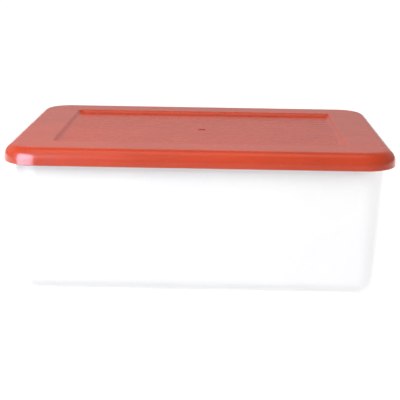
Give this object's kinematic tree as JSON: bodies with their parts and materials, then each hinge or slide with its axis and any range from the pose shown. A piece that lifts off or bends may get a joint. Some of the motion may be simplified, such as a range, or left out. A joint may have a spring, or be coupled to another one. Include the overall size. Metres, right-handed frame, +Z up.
{
  "type": "food storage container",
  "caption": "Shut rectangular food storage container: a white moulded tub with drafted walls under a red press-on lid with a sunk top panel.",
  "frame": {"origin": "middle of the tub's base, on the surface that it stands on", "axes": "+X along the long side, +Y along the short side towards the back, +Z up through the lid"},
  "size_m": [0.3, 0.2288, 0.1148],
  "materials": {
    "tub_white": "satin moulded polypropylene",
    "lid_red": "semi-gloss moulded plastic with a finely textured sunk panel"
  },
  "bodies": {
    "root": {"tub": "tub_white", "lid": "lid_red"}
  },
  "joints": []
}
